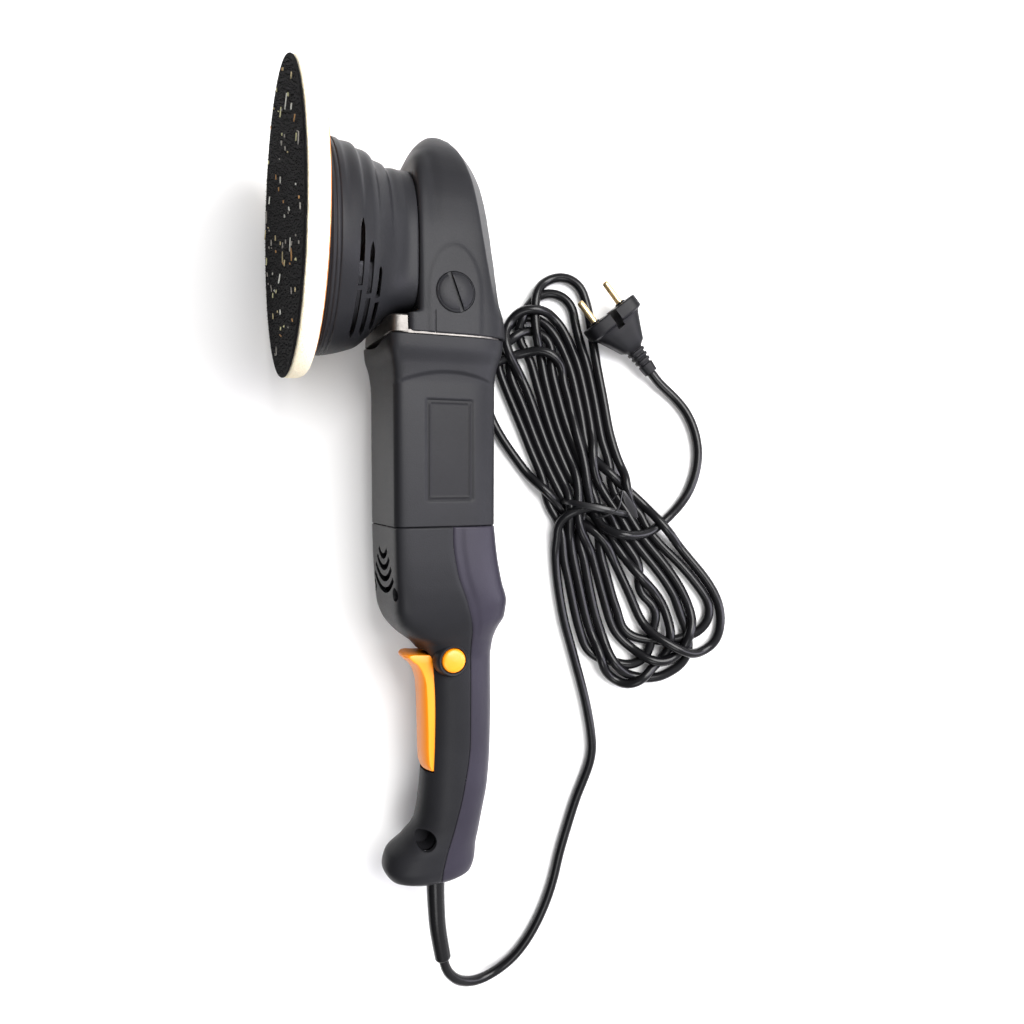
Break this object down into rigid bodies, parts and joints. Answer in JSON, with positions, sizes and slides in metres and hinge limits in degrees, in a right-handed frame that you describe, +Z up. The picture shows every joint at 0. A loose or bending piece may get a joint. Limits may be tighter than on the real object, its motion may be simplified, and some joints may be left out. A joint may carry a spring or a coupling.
{
  "type": "dual action polisher",
  "caption": "Corded long-throw polisher lying on its side: eccentric backing plate under a shrouded head, motor housing, curved handle with trigger, and its lead tied in a hank.",
  "frame": {"origin": "on the table, under the middle of the tool's box, measured without the free lead", "axes": "+Z up from the table, +Y from the handle towards the head, +X from the backing plate towards the head's back and the tied lead"},
  "size_m": [0.273, 0.5092, 0.1482],
  "materials": {
    "hook_fabric": "coarse hook pile",
    "foam": "open cell foam",
    "fibre_board": "pressed fibre board",
    "steel": "machined",
    "iron": "laminated or cast",
    "alloy": "cast and machined satin",
    "housing_plastic": "fine texture",
    "copper": "enamelled copper",
    "pin_brass": "polished",
    "carbon": "dull carbon",
    "panel_plastic": "satin",
    "rear_plastic": "fine texture",
    "accent_plastic": "semi-gloss",
    "electronics": "moulded",
    "dial_plastic": "satin",
    "cord_rubber": "smooth semi-gloss",
    "tie_plastic": "satin",
    "plug_plastic": "moulded satin"
  },
  "bodies": {
    "tool": {"spindle_bearing_lower": "steel", "spindle_bearing_upper": "steel", "bearing_plate": "alloy", "bearing_retainer": "steel", "stator_core": "iron", "field_winding_front": "copper", "field_winding_rear": "copper", "front_bearing": "steel", "rear_bearing": "steel", "bearing_bracket": "housing_plastic", "brush_holder_left": "pin_brass", "carbon_brush_left": "carbon", "brush_holder_right": "pin_brass", "carbon_brush_right": "carbon", "gear_case": "alloy", "head_cover": "housing_plastic", "shroud": "housing_plastic", "motor_housing": "housing_plastic", "side_cap_left": "housing_plastic", "label_left": "panel_plastic", "side_cap_right": "housing_plastic", "label_right": "panel_plastic", "handle_front_shell": "housing_plastic", "handle_back_shell": "rear_plastic", "switch_body": "electronics", "speed_module": "electronics", "cord_clamp": "dial_plastic", "strain_relief": "cord_rubber", "handle_screw_1": "steel", "handle_screw_2": "steel", "handle_screw_3": "steel", "handle_screw_4": "steel", "cord_lead": "cord_rubber", "cord_long_turn": "cord_rubber", "cord_short_turn": "cord_rubber", "cord_plug_lead": "cord_rubber", "cord_hank": "cord_rubber", "cord_tie": "tie_plastic", "plug_body": "plug_plastic", "plug_pin_a": "pin_brass", "plug_pin_b": "pin_brass"},
    "drive": {"spindle": "steel", "bevel_gear": "steel", "eccentric": "iron", "eccentric_screw": "steel", "plate_bearing": "steel"},
    "rotor": {"motor_shaft": "steel", "pinion": "steel", "fan": "housing_plastic", "armature_core": "copper", "commutator": "copper"},
    "backing_plate": {"hook_face": "hook_fabric", "plate_foam": "foam", "plate_shell": "fibre_board", "plate_stud": "steel", "plate_spindle": "steel"},
    "trigger": {"trigger": "accent_plastic"},
    "switch_plunger": {"switch_plunger": "dial_plastic"},
    "lock_button": {"lock_button": "accent_plastic"},
    "speed_dial": {"speed_dial": "dial_plastic"}
  },
  "joints": [
    {"name": "spindle_spin", "type": "hinge", "parent": "tool", "child": "drive", "pos_m": [0.03019, 0.15358, 0.04292], "axis": [0.9202, 0.0164, -0.3912], "continuous": true},
    {"name": "motor_spin", "type": "hinge", "parent": "tool", "child": "rotor", "pos_m": [0.03019, 0.07365, 0.03957], "axis": [0, 0.9991, 0.0419], "continuous": true},
    {"name": "plate_spin", "type": "hinge", "parent": "drive", "child": "backing_plate", "pos_m": [-0.02502, 0.16309, 0.06683], "axis": [0.9202, 0.0164, -0.3912], "continuous": true},
    {"name": "trigger_pull", "type": "hinge", "parent": "tool", "child": "trigger", "pos_m": [0.02927, -0.12819, 0.0315], "axis": [-0.3915, 0.0385, -0.9194], "range_deg": [0, 6], "stiffness_Nm_per_rad": 4, "springref_deg": -8.59},
    {"name": "plunger_travel", "type": "slide", "parent": "tool", "child": "switch_plunger", "axis": [0.9202, 0.0164, -0.3912], "range_m": [0, 0.0045]},
    {"name": "lock_press", "type": "slide", "parent": "tool", "child": "lock_button", "axis": [-0.3915, 0.0385, -0.9194], "range_m": [0, 0.002], "stiffness_N_per_m": 400, "springref_m": -0.003},
    {"name": "dial_turn", "type": "hinge", "parent": "tool", "child": "speed_dial", "pos_m": [0.05448, -0.03182, 0.0248], "axis": [0.3915, -0.0385, 0.9194], "range_deg": [0, 280]}
  ],
  "couplings": [
    {"joint": "motor_spin", "follows": "spindle_spin", "ratio": 4.2222},
    {"joint": "plunger_travel", "follows": "trigger_pull", "m_per_rad": 0.036}
  ]
}
